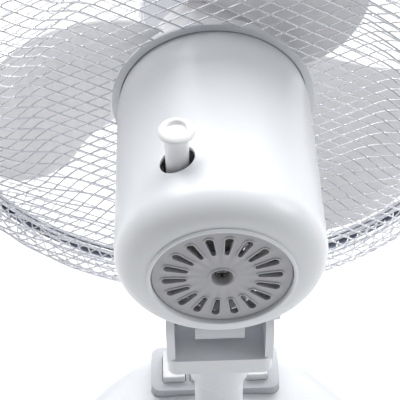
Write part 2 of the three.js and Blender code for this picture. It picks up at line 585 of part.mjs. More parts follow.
add(base, 'column', column(), WHITE);
add(base, 'column_collar', collar(), WHITE);
add(base, 'base_cover', baseCover(), WHITE);
add(base, 'base_plate', basePlate(), DARK);
add(base, 'base_weight', weight(), CAST);
FOOT_PLACES.forEach(([x, y], i) => add(base, `foot_${i + 1}`, foot(x, y), RUBBER));
add(base, 'switch_panel', switchPanel(), PALE);
add(base, 'switch_block', switchBlock(), DARK);
[0, 1, 2, 3].forEach((i) => add(base, `button_${i}`, button(i), WHITE));
add(base, 'cable_grommet', grommet(), RUBBER);

export default root;
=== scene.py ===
"""Looks of the oscillating desk fan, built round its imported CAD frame.

Lengths in the profiles are millimetres about the head's own origin: the blade axis, +Y to the rear vent.
"""
import math

import bmesh
import bpy
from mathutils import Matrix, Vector


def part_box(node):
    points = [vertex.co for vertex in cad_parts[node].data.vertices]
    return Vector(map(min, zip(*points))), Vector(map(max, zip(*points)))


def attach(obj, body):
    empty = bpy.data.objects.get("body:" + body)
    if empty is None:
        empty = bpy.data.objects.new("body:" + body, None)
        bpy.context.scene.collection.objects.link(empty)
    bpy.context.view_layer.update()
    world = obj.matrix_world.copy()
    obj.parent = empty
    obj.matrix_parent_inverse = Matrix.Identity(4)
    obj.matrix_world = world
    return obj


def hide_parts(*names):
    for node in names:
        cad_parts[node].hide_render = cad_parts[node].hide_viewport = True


MM = 0.001
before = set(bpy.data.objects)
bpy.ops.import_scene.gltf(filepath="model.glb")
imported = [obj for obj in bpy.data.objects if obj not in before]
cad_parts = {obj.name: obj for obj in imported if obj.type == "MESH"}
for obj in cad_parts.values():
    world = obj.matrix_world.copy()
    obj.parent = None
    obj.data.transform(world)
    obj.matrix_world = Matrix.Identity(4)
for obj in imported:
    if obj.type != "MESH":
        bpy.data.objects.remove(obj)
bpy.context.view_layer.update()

# ---------- places taken from the frame ----------
def corners(node):
    low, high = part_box(node)
    return Vector(low), Vector(high)


def middle_of(low, high):
    return (low + high) / 2


COVER_REAR = 63                  # bead of the cover behind the head's origin, in the CAD
shaft_middle = middle_of(*corners("motor_shaft"))
HEAD = Vector((shaft_middle.x, corners("motor_cover")[1].y - COVER_REAR * MM, shaft_middle.z))
post_middle = middle_of(*corners("swivel_post"))
SWIVEL = Vector((post_middle.x, post_middle.y, 0))

# ---------- driving dimensions, mm ----------
COVER_R = 58
COVER_WALL = 2.2
SHOULDER_R = 17
DOME_MIDDLE = -60                # centre of the cover's rounded front end
DOME_REACH = 25
KNOB_HOLE_R = 9.3
NECK_HOLE_R = 26
VENT_SLOTS = 18
VENT_TOP = 61.4                  # rear face of the vent disc
GUARD_R = 180
REAR_RIM = -95
FRONT_RIM = -99
QUARTER = math.pi / 2            # a quarter turn


# ---------- mesh helpers ----------
def new_object(name, mesh, smooth_angle=35):
    mesh.validate()
    for polygon in mesh.polygons:
        polygon.use_smooth = True
    mesh.set_sharp_from_angle(angle=math.radians(smooth_angle))
    piece = bpy.data.objects.new(name, mesh)
    bpy.context.collection.objects.link(piece)
    return piece


def from_lists(name, points, faces, smooth_angle=35):
    mesh = bpy.data.meshes.new(name)
    mesh.from_pydata([tuple(p) for p in points], [], faces)
    return new_object(name, mesh, smooth_angle)


def turned(name, profile, segments=96, closed=False, upright=False, centre=None):
    """A profile of (radius, place along the axis) in mm, turned about the head's axis or an upright one."""
    origin = HEAD if centre is None else centre
    mesh = bpy.data.meshes.new(name)
    shape = bmesh.new()
    rings = []
    for radius, along in profile:
        ring = []
        for step in range(segments):
            angle = 2 * math.pi * step / segments
            across = (radius * math.cos(angle), radius * math.sin(angle))
            local = (across[0], across[1], along) if upright else (across[0], along, across[1])
            ring.append(shape.verts.new(origin + Vector(local) * MM))
        rings.append(ring)
    pairs = list(zip(rings, rings[1:])) + ([(rings[-1], rings[0])] if closed else [])
    for inner, outer in pairs:
        for step in range(segments):
            after = (step + 1) % segments
            shape.faces.new((inner[step], inner[after], outer[after], outer[step]))
    bmesh.ops.remove_doubles(shape, verts=shape.verts, dist=1e-6)
    bmesh.ops.dissolve_degenerate(shape, edges=shape.edges, dist=1e-7)
    bmesh.ops.recalc_face_normals(shape, faces=shape.faces)
    shape.to_mesh(mesh)
    shape.free()
    return new_object(name, mesh)


def bend(radius_at, along_at, radius, start, end, steps=10):
    """Points of an arc in a profile; angle 0 points away from the axis."""
    return [(radius_at + radius * math.cos(start + (end - start) * i / steps),
             along_at + radius * math.sin(start + (end - start) * i / steps)) for i in range(steps + 1)]


def slab(name, outline, low, high, origin):
    """A closed outline of (x, y) in mm, drawn up from low to high."""
    count = len(outline)
    points = [origin + Vector((x, y, z)) * MM for z in (low, high) for x, y in outline]
    faces = [tuple(range(count))[::-1], tuple(range(count, 2 * count))]
    faces += [(i, (i + 1) % count, count + (i + 1) % count, count + i) for i in range(count)]
    return from_lists(name, points, faces)


def rounded(half_x, half_y, radius, centre=(0, 0), steps=8):
    corners = [(half_x, half_y, 0), (-half_x, half_y, 1), (-half_x, -half_y, 2), (half_x, -half_y, 3)]
    outline = []
    for x, y, turn in corners:
        cx = x - math.copysign(radius, x)
        cy = y - math.copysign(radius, y)
        for i in range(steps + 1):
            angle = (turn + i / steps) * QUARTER
            outline.append((centre[0] + cx + radius * math.cos(angle),
                            centre[1] + cy + radius * math.sin(angle)))
    return outline


def apply(piece, kind, **values):
    modifier = piece.modifiers.new(kind, kind)
    for key, value in values.items():
        setattr(modifier, key, value)
    graph = bpy.context.evaluated_depsgraph_get()
    mesh = bpy.data.meshes.new_from_object(piece.evaluated_get(graph))
    piece.modifiers.clear()
    piece.data = mesh


def combine(piece, other, operation):
    apply(piece, "BOOLEAN", operation=operation, object=other, solver="EXACT")
    bpy.data.objects.remove(other)


def face_outwards(piece):
    mesh = bmesh.new()
    mesh.from_mesh(piece.data)
    bmesh.ops.recalc_face_normals(mesh, faces=mesh.faces)
    mesh.to_mesh(piece.data)
    mesh.free()


def soften(piece, width, segments=2, angle=30, smooth_angle=35):
    apply(piece, "BEVEL", width=width * MM, segments=segments, limit_method="ANGLE",
          angle_limit=math.radians(angle), harden_normals=False)
    smooth(piece, smooth_angle)


def smooth(piece, angle):
    piece.data.polygons.foreach_set("use_smooth", [True] * len(piece.data.polygons))
    piece.data.set_sharp_from_angle(angle=math.radians(angle))


def put(piece, body, slot, material, *nodes):
    piece.data.materials.clear()
    piece.data.materials.append(material)
    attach(piece, body)
    if nodes:
        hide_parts(*nodes)
    return piece


# ---------- materials ----------
def surface(name, colour, roughness, metallic=0.0, mottle=0.03, grain=900.0, bump=0.02, coat=0.0,
            stretch=(1, 1, 1), glow=0.0):
    """A moulded, plated or cast surface: slow tone drift, fine grain in the gloss, and a little relief.

    glow lets light soak through a thin wall, as it does through a blade."""
    material = bpy.data.materials.new(name)
    material.use_nodes = True
    nodes = material.node_tree.nodes
    links = material.node_tree.links
    shader = nodes["Principled BSDF"]
    shader.inputs["Metallic"].default_value = metallic
    shader.inputs["Coat Weight"].default_value = coat
    shader.inputs["Coat Roughness"].default_value = 0.12
    shader.inputs["Subsurface Weight"].default_value = glow
    shader.inputs["Subsurface Radius"].default_value = (1, 1, 1)
    shader.inputs["Subsurface Scale"].default_value = 0.008
    where = nodes.new("ShaderNodeTexCoord")
    scale = nodes.new("ShaderNodeMapping")
    scale.inputs["Scale"].default_value = stretch
    links.new(where.outputs["Object"], scale.inputs["Vector"])

    drift = nodes.new("ShaderNodeTexNoise")
    drift.inputs["Scale"].default_value = 22
    drift.inputs["Detail"].default_value = 3
    links.new(scale.outputs["Vector"], drift.inputs["Vector"])
    tone = nodes.new("ShaderNodeValToRGB")
    tone.color_ramp.elements[0].position = 0.3
    tone.color_ramp.elements[1].position = 0.7
    dark = [max(0.0, c * (1 - mottle)) for c in colour]
    light = [min(1.0, c * (1 + mottle)) for c in colour]
    tone.color_ramp.elements[0].color = (*dark, 1)
    tone.color_ramp.elements[1].color = (*light, 1)
    links.new(drift.outputs["Fac"], tone.inputs["Fac"])
    links.new(tone.outputs["Color"], shader.inputs["Base Color"])

    fine = nodes.new("ShaderNodeTexNoise")
    fine.inputs["Scale"].default_value = grain
    fine.inputs["Detail"].default_value = 4
    links.new(scale.outputs["Vector"], fine.inputs["Vector"])
    gloss = nodes.new("ShaderNodeMapRange")
    gloss.inputs["To Min"].default_value = max(0.03, roughness - 0.06)
    gloss.inputs["To Max"].default_value = roughness + 0.06
    links.new(fine.outputs["Fac"], gloss.inputs["Value"])
    links.new(gloss.outputs["Result"], shader.inputs["Roughness"])
    relief = nodes.new("ShaderNodeBump")
    relief.inputs["Strength"].default_value = bump
    relief.inputs["Distance"].default_value = 0.0004
    links.new(fine.outputs["Fac"], relief.inputs["Height"])
    links.new(relief.outputs["Normal"], shader.inputs["Normal"])
    return material


HOUSING = surface("housing gloss", (0.8, 0.82, 0.85), 0.3, mottle=0.008, grain=700, bump=0.012, coat=0.15)
KNOB = surface("knob gloss", (0.9, 0.9, 0.92), 0.24, mottle=0.01, grain=900, bump=0.015, coat=0.3)
VENT = surface("vent satin", (0.47, 0.47, 0.495), 0.42, mottle=0.02, grain=1400, bump=0.06)
PANEL = surface("panel satin", (0.62, 0.64, 0.67), 0.45, mottle=0.02, grain=1500, bump=0.08)
BLADE = surface("blade plastic", (0.86, 0.85, 0.87), 0.35, mottle=0.012, grain=500, bump=0.02,
                coat=0.1, glow=0.35)
WIRE = surface("plated wire", (0.86, 0.87, 0.91), 0.24, metallic=0.9, mottle=0.03, grain=600, bump=0.05)
SLATE = surface("slate moulding", (0.17, 0.19, 0.25), 0.4, mottle=0.06, grain=1100, bump=0.06)
STEEL = surface("plated steel", (0.62, 0.63, 0.65), 0.3, metallic=1.0, mottle=0.05, grain=500, bump=0.05)
SCREW = surface("oiled screw", (0.12, 0.12, 0.11), 0.3, metallic=0.9, mottle=0.2, grain=700, bump=0.15)
SHEET = surface("lamination steel", (0.34, 0.35, 0.37), 0.42, metallic=0.9, mottle=0.1, grain=300, bump=0.1,
                stretch=(0.3, 6, 0.3))
CAST = surface("cast alloy", (0.7, 0.71, 0.73), 0.5, metallic=0.4, mottle=0.07, grain=380, bump=0.3)
IRON = surface("ballast iron", (0.16, 0.16, 0.17), 0.65, metallic=0.5, mottle=0.15, grain=260, bump=0.5)
BRONZE = surface("sintered bronze", (0.52, 0.36, 0.15), 0.45, metallic=0.9, mottle=0.08, grain=1200, bump=0.2)
COPPER = surface("varnished windings", (0.5, 0.27, 0.1), 0.35, metallic=0.5, mottle=0.2, grain=160, bump=0.6,
                 stretch=(1, 0.2, 1))
NYLON = surface("natural nylon", (0.8, 0.77, 0.66), 0.5, mottle=0.03, grain=700, bump=0.04)
BLACK = surface("black moulding", (0.025, 0.025, 0.028), 0.45, mottle=0.1, grain=1000, bump=0.1)
RUBBER = surface("matt rubber", (0.022, 0.022, 0.023), 0.8, mottle=0.15, grain=900, bump=0.25)
SLEEVE = surface("woven sleeve", (0.92, 0.8, 0.6), 0.75, mottle=0.2, grain=420, bump=0.6)
PRINT = surface("printed mark", (0.2, 0.22, 0.26), 0.6, mottle=0.05, grain=900, bump=0.02)

NODE_MATERIALS = {
    STEEL: ["cover_screw", "motor_bolt_1", "motor_bolt_2", "motor_bolt_3", "motor_bolt_4", "motor_shaft",
            "drive_worm", "drive_pin", "clutch_rod", "swivel_post", "swivel_set_screw", "link_post",
            "oscillation_link", "tilt_pin_left", "tilt_pin_right", "band_screw", "clutch_pinion"],
    SHEET: ["stator_core", "rotor_core"],
    CAST: ["motor_front_bracket", "motor_rear_bracket", "gearbox_case", "gearbox_lid"],
    COPPER: ["stator_winding"],
    BRONZE: ["front_bush", "rear_bush"],
    NYLON: ["worm_wheel", "crank_gear"],
    IRON: ["base_weight"],
    BLACK: ["base_plate", "switch_block", "capacitor", "tilt_bush_left", "tilt_bush_right"],
    RUBBER: ["foot_1", "foot_2", "foot_3", "foot_4", "cable_grommet"],
    SLATE: ["guard_band", "guard_ring_nut"],
}
def recolour(node, material):
    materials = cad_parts[node].data.materials
    materials.clear()
    materials.append(material)


for node_material, names in NODE_MATERIALS.items():
    for node_name in names:
        recolour(node_name, node_material)


# ---------- motor cover ----------
def motor_cover():
    inside_r = COVER_R - COVER_WALL
    shoulder_r = COVER_R - SHOULDER_R
    shoulder_y = 45
    outside = [(38.2, 59.8)] + bend(39.3, 62.6, 1.1, math.pi, 0, 10) + [(40.5, 62)]
    outside += bend(shoulder_r, shoulder_y, SHOULDER_R, QUARTER, 0, 20)[1:]
    outside += [(COVER_R, y) for y in (30, 10, -10, -30, -50)]
    outside += bend(0, DOME_MIDDLE, COVER_R, 0, -math.asin(DOME_REACH / COVER_R), 16)
    inside = bend(0, DOME_MIDDLE, inside_r, -math.asin(DOME_REACH / inside_r), 0, 10)
    inside += bend(shoulder_r, shoulder_y, SHOULDER_R - COVER_WALL, 0, QUARTER, 12)
    shell = turned("cover_shell", outside + inside, segments=144, closed=True)
    knob_hole = turned("knob_hole", [(0, 20), (KNOB_HOLE_R, 20), (KNOB_HOLE_R, 90), (0, 90)], 64,
                       upright=True, centre=knob_centre())
    combine(shell, knob_hole, "DIFFERENCE")
    neck_hole = turned("neck_hole", [(0, -90), (NECK_HOLE_R, -90), (NECK_HOLE_R, -30), (0, -30)], 64,
                       upright=True, centre=Vector((SWIVEL.x, SWIVEL.y, HEAD.z)))
    combine(shell, neck_hole, "DIFFERENCE")
    smooth(shell, 38)
    return put(shell, "head", "housing_white", HOUSING, "motor_cover")


def knob_centre():
    middle = middle_of(*corners("oscillation_knob"))
    return Vector((middle.x, middle.y, HEAD.z))


def slot_ring(name, grow, low, high):
    """A ring of prisms along the blade axis, one for each slot, grown sideways by a margin."""
    inner, outer = 19 - grow, 32.5 + grow
    narrow, wide = 1.35 + grow, 2.25 + grow
    first_slot = QUARTER + math.radians(7)
    points, faces = [], []
    for number in range(VENT_SLOTS):
        turn = first_slot + 2 * math.pi * number / VENT_SLOTS
        outline = [(outer - wide + wide * math.cos(a), wide * math.sin(a))
                   for a in (QUARTER * (i / 5 - 1) for i in range(11))]
        outline += [(inner + narrow + narrow * math.cos(a), narrow * math.sin(a))
                    for a in (QUARTER * (1 + i / 4) for i in range(9))]
        around = len(outline)
        first = len(points)
        for y in (low, high):
            for x, z in outline:
                across = x * math.cos(turn) - z * math.sin(turn)
                points.append(HEAD + Vector((across, y, x * math.sin(turn) + z * math.cos(turn))) * MM)
        faces.append(tuple(first + i for i in range(around)))
        faces.append(tuple(first + around + i for i in reversed(range(around))))
        for i in range(around):
            after = (i + 1) % around
            faces.append((first + after, first + i, first + around + i, first + around + after))
    ring = from_lists(name, points, faces)
    face_outwards(ring)
    return ring


def vent_disc():
    disc = turned("vent_disc", [(2.3, 55.4), (7.3, 55.4), (8.4, 59), (37.4, 59), (37.9, 59.3), (37.9, 60.9),
                                (37.4, VENT_TOP), (8, VENT_TOP), (7.4, VENT_TOP + 0.6), (6.7, VENT_TOP + 0.6),
                                (6, VENT_TOP), (5.3, 57), (2.3, 57)], 96, closed=True)
    combine(disc, slot_ring("slot_lips", 0.9, 60, VENT_TOP + 0.5), "UNION")
    combine(disc, slot_ring("slot_holes", 0, 50, 66), "DIFFERENCE")
    soften(disc, 0.3, 2, 40, 30)
    return put(disc, "head", "pale_plastic", VENT, "rear_vent_disc")


def cross_screw():
    slot_long, slot_wide = 2.9, 0.8
    slot_floor = 57.5
    screw = turned("cross_screw", [(0, 48), (2, 48), (2, 57.3), (4.2, 57.3), (4.4, 57.6), (4.2, 58.2),
                                   (3.4, 58.9), (1.8, 59.3), (0, 59.4)], 40)
    for a, b in ((slot_long, slot_wide), (slot_wide, slot_long)):
        points = [HEAD + Vector((x, y, z)) * MM for y in (slot_floor, 61)
                  for x, z in ((-a, -b), (a, -b), (a, b), (-a, b))]
        faces = [(0, 1, 2, 3), (7, 6, 5, 4), (1, 0, 4, 5), (2, 1, 5, 6), (3, 2, 6, 7), (0, 3, 7, 4)]
        combine(screw, from_lists("screw_slot", points, faces), "DIFFERENCE")
    return put(screw, "head", "steel", SCREW, "cover_screw")


def knob():
    socket_and_stem = [(0, 62), (2.8, 62), (2.8, 46), (6.2, 46), (6.4, 68), (6.5, 70.6)]
    flange = [(6.9, 71.7), (7.8, 72.4), (9.0, 72.7), (9.5, 73.1), (9.6, 73.7), (9.5, 74.3), (9.0, 74.9),
              (8.2, 75.5), (7.2, 76), (6.3, 76.25), (5.7, 76.2)]
    hollow_top = [(5.3, 75.8), (5.1, 75.1), (4.9, 74.4), (4.3, 74), (0, 73.9)]
    piece = turned("knob", socket_and_stem + flange + hollow_top, 72, upright=True, centre=knob_centre())
    return put(piece, "knob", "housing_white", KNOB, "oscillation_knob")


# ---------- guards ----------
STEP_ACROSS = 8.37               # half a diamond
STEP_UP = 4.43
NET_TILT = math.radians(-1.0)
NET_START = (81.7, -31.2)
RISING_R, FALLING_R = 0.46, 0.62   # the two wire families, as seen from behind
LIFT = 0.34                      # half the distance between the families


def net_point(i, j):
    """Crossing (i, j) of the flat net, as seen from behind: first number to the right, second up."""
    right = (i + j) * STEP_ACROSS
    up = (i - j) * STEP_UP
    return (NET_START[0] + right * math.cos(NET_TILT) - up * math.sin(NET_TILT),
            NET_START[1] + right * math.sin(NET_TILT) + up * math.cos(NET_TILT))


def draped(outline, flat_to):
    """Distance over the net against the guard's section; the net runs down the rim beyond flat_to."""
    table = [(outline[0][0], *outline[0])]
    for (r0, y0), (r1, y1) in zip(outline, outline[1:]):
        length = math.hypot(r1 - r0, y1 - y0)
        table.append((table[-1][0] + (r1 - r0 if r0 < flat_to - 0.1 else length), r1, y1))
    return table


def on_guard(table, right, up):
    reach = math.hypot(right, up)
    for (d0, r0, y0), (d1, r1, y1) in zip(table, table[1:]):
        if reach <= d1:
            break
    part = (reach - d0) / (d1 - d0)
    radius = r0 + (r1 - r0) * part
    length = math.hypot(r1 - r0, y1 - y0)
    outward = ((y0 - y1) / length, (r1 - r0) / length)
    angle = math.atan2(up, -right)
    point = Vector((radius * math.cos(angle), y0 + (y1 - y0) * part, radius * math.sin(angle)))
    normal = Vector((outward[0] * math.cos(angle), outward[1], outward[0] * math.sin(angle)))
    return point, normal


def guard_net(name, outline, flat_to, hoops, body, slot, node):
    table = draped(outline, flat_to)
    nearest = table[0][0]
    farthest = table[-1][0]
    span = int(farthest / STEP_UP / 1.6) + 4
    points, faces = [], []
    sides = 6

    def tube(path, wire_r):
        if len(path) < 2:
            return
        first = len(points)
        for k, (point, normal) in enumerate(path):
            ahead = path[min(k + 1, len(path) - 1)][0] - path[max(k - 1, 0)][0]
            side = ahead.cross(normal).normalized()
            lift = side.cross(ahead).normalized()
            for s in range(sides):
                turn = 2 * math.pi * s / sides
                offset = side * math.cos(turn) + lift * math.sin(turn)
                points.append(HEAD + (point + offset * wire_r) * MM)
        for k in range(len(path) - 1):
            for s in range(sides):
                a = first + k * sides + s
                b = first + k * sides + (s + 1) % sides
                faces.append((a, b, b + sides, a + sides))
        faces.append(tuple(first + s for s in reversed(range(sides))))
        faces.append(tuple(first + (len(path) - 1) * sides + s for s in range(sides)))

    steps_per_crossing = 3
    for rising in (True, False):
        wire_r, lift = (RISING_R, -LIFT) if rising else (FALLING_R, LIFT)
        for line in range(-2 * span, 2 * span + 1):
            path = []
            for step in range(-2 * span * steps_per_crossing, 2 * span * steps_per_crossing + 1):
                along = step / steps_per_crossing
                right, up = net_point(along, line) if rising else net_point(line, along)
                reach = math.hypot(right, up)
                if nearest - 0.8 <= reach <= farthest:
                    point, normal = on_guard(table, right, up)
                    path.append((point + normal * lift, normal))
                elif path:
                    tube(path, wire_r)
                    path = []
            tube(path, wire_r)
    for i in range(-2 * span, 2 * span + 1):
        for j in range(-2 * span, 2 * span + 1):
            right, up = net_point(i, j)
            if nearest < math.hypot(right, up) < farthest - 1:
                point, normal = on_guard(table, right, up)
                weld(points, faces, point, normal)
    net = from_lists(name, points, faces, 80)
    for radius, along, thick in hoops:
        ring = turned(name + "_hoop", bend(radius, along, thick, 0, 2 * math.pi, 12)[:-1], 160, closed=True)
        add_mesh(net, ring)
    return put(net, body, slot, WIRE, node)


def weld(points, faces, point, normal):
    """The small flattened bead where two wires are welded."""
    half_long, half_wide, half_high = 1.55, 0.95, 0.9
    sides = 8
    across = Vector((1, 0, 0))
    across = (across - normal * across.dot(normal)).normalized()
    up = normal.cross(across)
    first = len(points)
    levels = ((-1, 0.45), (0, 1.0), (1, 0.45))
    for height, size in levels:
        for s in range(sides):
            turn = 2 * math.pi * s / sides
            offset = across * (half_long * size * math.cos(turn)) + up * (half_wide * size * math.sin(turn))
            points.append(HEAD + (point + offset + normal * (half_high * height)) * MM)
    for level in (0, 1):
        for s in range(sides):
            a = first + level * sides + s
            b = first + level * sides + (s + 1) % sides
            faces.append((a, b, b + sides, a + sides))
    faces.append(tuple(first + s for s in reversed(range(sides))))
    faces.append(tuple(first + 2 * sides + s for s in range(sides)))


def add_mesh(piece, other):
    mesh = bmesh.new()
    mesh.from_mesh(piece.data)
    mesh.from_mesh(other.data)
    mesh.to_mesh(piece.data)
    mesh.free()
    bpy.data.objects.remove(other)


def guards():
    rear = [(61.5, -74), (103, -74), (109, -72.2), (121, -64.6), (128, -62), (164, -62)]
    rear += bend(164, -78, 16, QUARTER, 0, 8)[1:] + [(GUARD_R, REAR_RIM + 1)]
    guard_net("rear_guard_net", rear, 164, [(GUARD_R, REAR_RIM, 1.5), (GUARD_R - 0.4, -84, 1.0)],
              "head", "guard_wire", "rear_guard")
    front = [(44, -157), (105, -154), (156, -146)]
    front += bend(156, -122, 24, -QUARTER, 0, 8)[1:] + [(GUARD_R, FRONT_RIM - 1)]
    guard_net("front_guard_net", front, 156, [(GUARD_R, FRONT_RIM, 1.5), (44.5, -157, 1.4)],
              "head", "guard_wire", "front_guard")
    plate = turned("guard_centre", [(61.6, -73.6), (61.3, -73.1), (57.2, -73.1), (56.8, -73.5), (56, -78),
                                    (53.6, -86.3),
                                    (15.5, -86.6), (15.5, -88), (54.4, -88), (58.4, -75.4), (61.4, -75.2)],
                   120, closed=True)
    put(plate, "head", "housing_white", HOUSING, "guard_hub_plate")
    badge = turned("badge", [(0, -162), (28, -161.4), (38, -160.2), (42.2, -159.4), (43, -158.9),
                             (42.6, -158.5), (0, -158.5)], 96)
    put(badge, "head", "housing_white", HOUSING, "front_badge")


# ---------- blade ----------
def blade_sheet(turn):
    """One swept, twisted blade; u runs from the hub to the tip, v from the leading to the trailing edge."""
    along, across = 46, 44
    root_r, tip_r = 37.3, 168
    root_width, tip_width = 113, 36
    root_rise, tip_rise = 31, 66      # axial depth from the leading to the trailing edge
    start, lean, sweep = 61.5, -6.5, 40
    round_from, round_share = 0.78, 0.87
    root_y, tip_y = -115, -105
    points, faces = [], []
    for i in range(along + 1):
        u = i / along
        edge = max(0.0, (u - round_from) / (1 - round_from))
        inset = round_share * (1 - math.sqrt(max(0.0, 1 - edge * edge)))
        for j in range(across + 1):
            v = j / across
            place = (v - 0.5) * (1 - inset)
            radius = root_r + (tip_r - root_r) * u
            width = root_width + (tip_width - root_width) * u
            angle = math.radians(start + turn + lean * u + sweep * u * u + width * place)
            rise = root_rise + (tip_rise - root_rise) * u
            depth = root_y + (tip_y - root_y) * u - rise * place
            points.append(HEAD + Vector((-radius * math.cos(angle), depth, radius * math.sin(angle))) * MM)
    row = across + 1
    for i in range(along):
        for j in range(across):
            a = i * row + j
            faces.append((a, a + 1, a + row + 1, a + row))
    sheet = from_lists("blade", points, faces, 60)
    apply(sheet, "SOLIDIFY", thickness=2.2 * MM, offset=0)
    soften(sheet, 0.8, 2, 50, 60)
    return sheet


def fan_blade():
    bore_and_inside = [(4.3, -104), (9, -104), (9, -130), (34, -128), (36.2, -123), (36.2, -95.3)]
    rim_and_wall = [(36.6, -95), (38.2, -95), (38.5, -95.4), (38.5, -122)]
    front_face = [(37.6, -126.5), (35.4, -130.2), (31, -132), (9, -132.6), (4.3, -132.6)]
    hub = turned("blades", bore_and_inside + rim_and_wall + front_face, 96, closed=True)
    for number in range(3):
        add_mesh(hub, blade_sheet(120 * number))
    hub.data.set_sharp_from_angle(angle=math.radians(50))
    put(hub, "rotor", "blade_plastic", BLADE, "fan_blade")
    nut = turned("blade_cap", [(0, -140.5), (4.3, -140), (4.3, -133), (14.8, -133), (15, -133.2), (15, -135),
                               (14.6, -138.6), (12.6, -142.4), (9.4, -145.2), (5, -146.6), (0, -147)], 60)
    put(nut, "rotor", "blade_plastic", BLADE, "blade_nut")


# ---------- wiring behind the vent ----------
def lead(name, route, radius, material):
    curve = bpy.data.curves.new(name, "CURVE")
    curve.dimensions = "3D"
    curve.bevel_depth = radius * MM
    curve.bevel_resolution = 3
    curve.resolution_u = 10
    spline = curve.splines.new("NURBS")
    spline.points.add(len(route) - 1)
    for point, place in zip(spline.points, route):
        point.co = (*(HEAD + Vector(place) * MM), 1)
    spline.use_endpoint_u = True
    spline.order_u = 3
    piece = bpy.data.objects.new(name, curve)
    bpy.context.collection.objects.link(piece)
    piece.data.materials.append(material)
    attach(piece, "head")


def wiring():
    """Sleeved leads looped over the gearbox, just behind the vent."""
    def loop(reach, first, last, depth):
        turns = [math.radians(first + (last - first) * i / 8) for i in range(9)]
        return [(reach * math.cos(a), depth + 2 * math.sin(5 * a), reach * math.sin(a)) for a in turns]

    lead("lead_tan_1", [(-44, 12, 6), *loop(22.5, 165, 35, 49), (40, 12, 24)], 3.4, SLEEVE)
    lead("lead_tan_2", [(-38, 10, 20), *loop(30.5, 150, 45, 47), (34, 10, 32)], 3.8, SLEEVE)
    lead("lead_black_1", [(-40, 10, 2), (-33, 46, 8), (-30, 54.5, 16), (-22, 54, 22), (-8, 40, 36)], 1.7,
         BLACK)
    lead("lead_black_2", [(-20, 30, -34), (-4, 44, -38), (4, 53, -30), (14, 53, -24), (20, 44, -36)], 1.9,
         BLACK)


# ---------- neck ----------
def neck():
    tilt_axis = middle_of(*corners("tilt_pin_right"))
    fork_low, fork_high = corners("neck_fork")
    thick = 5
    half = (fork_high.x - fork_low.x) / 2 / MM
    reach = (fork_high.y - fork_low.y) / 2 / MM
    centre = Vector((SWIVEL.x, tilt_axis.y, tilt_axis.z))

    def cheek(x0, x1):
        outline = [(reach * math.cos(a), reach * math.sin(a)) for a in (math.pi * i / 32 for i in range(33))]
        outline += [(-reach, -12), (-reach + 1.5, -25), (reach - 1.5, -25), (reach, -12)]
        count = len(outline)
        points = [centre + Vector((x, y, z)) * MM for x in (x0, x1) for y, z in outline]
        faces = [tuple(range(count)), tuple(range(2 * count - 1, count - 1, -1))]
        faces += [((i + 1) % count, i, count + i, count + (i + 1) % count) for i in range(count)]
        piece = from_lists("cheek", points, faces)
        face_outwards(piece)
        return piece

    fork = cheek(half - thick, half)
    combine(fork, cheek(-half, -half + thick), "UNION")
    floor = slab("fork_floor", rounded(half, reach, 6), -37, -23, centre)
    combine(fork, floor, "UNION")
    sleeve = turned("fork_sleeve", [(0, -62), (18.4, -62), (19, -61.4), (20, -58), (20.9, -38), (20.9, -30),
                                    (0, -30)], 64, upright=True, centre=centre)
    combine(fork, sleeve, "UNION")
    socket = turned("socket", [(0, -80), (16.3, -80), (16.3, -30 + 0.3), (0, -30 + 0.3)], 64, upright=True,
                    centre=centre)
    combine(fork, socket, "DIFFERENCE")
    for x0, x1, radius in ((-60, 60, 4.3), (half - 2.2, half + 5, 7.3)):
        points = [centre + Vector((x, radius * math.cos(a), radius * math.sin(a))) * MM
                  for x in (x0, x1) for a in (2 * math.pi * i / 48 for i in range(48))]
        faces = [tuple(range(47, -1, -1)), tuple(range(48, 96))]
        faces += [(i, (i + 1) % 48, 48 + (i + 1) % 48, 48 + i) for i in range(48)]
        tool = from_lists("bolt_hole", points, faces)
        combine(fork, tool, "DIFFERENCE")
    soften(fork, 0.9, 3, 50)
    put(fork, "base", "housing_white", HOUSING, "neck_fork")
    recolour("tilt_block", PANEL)


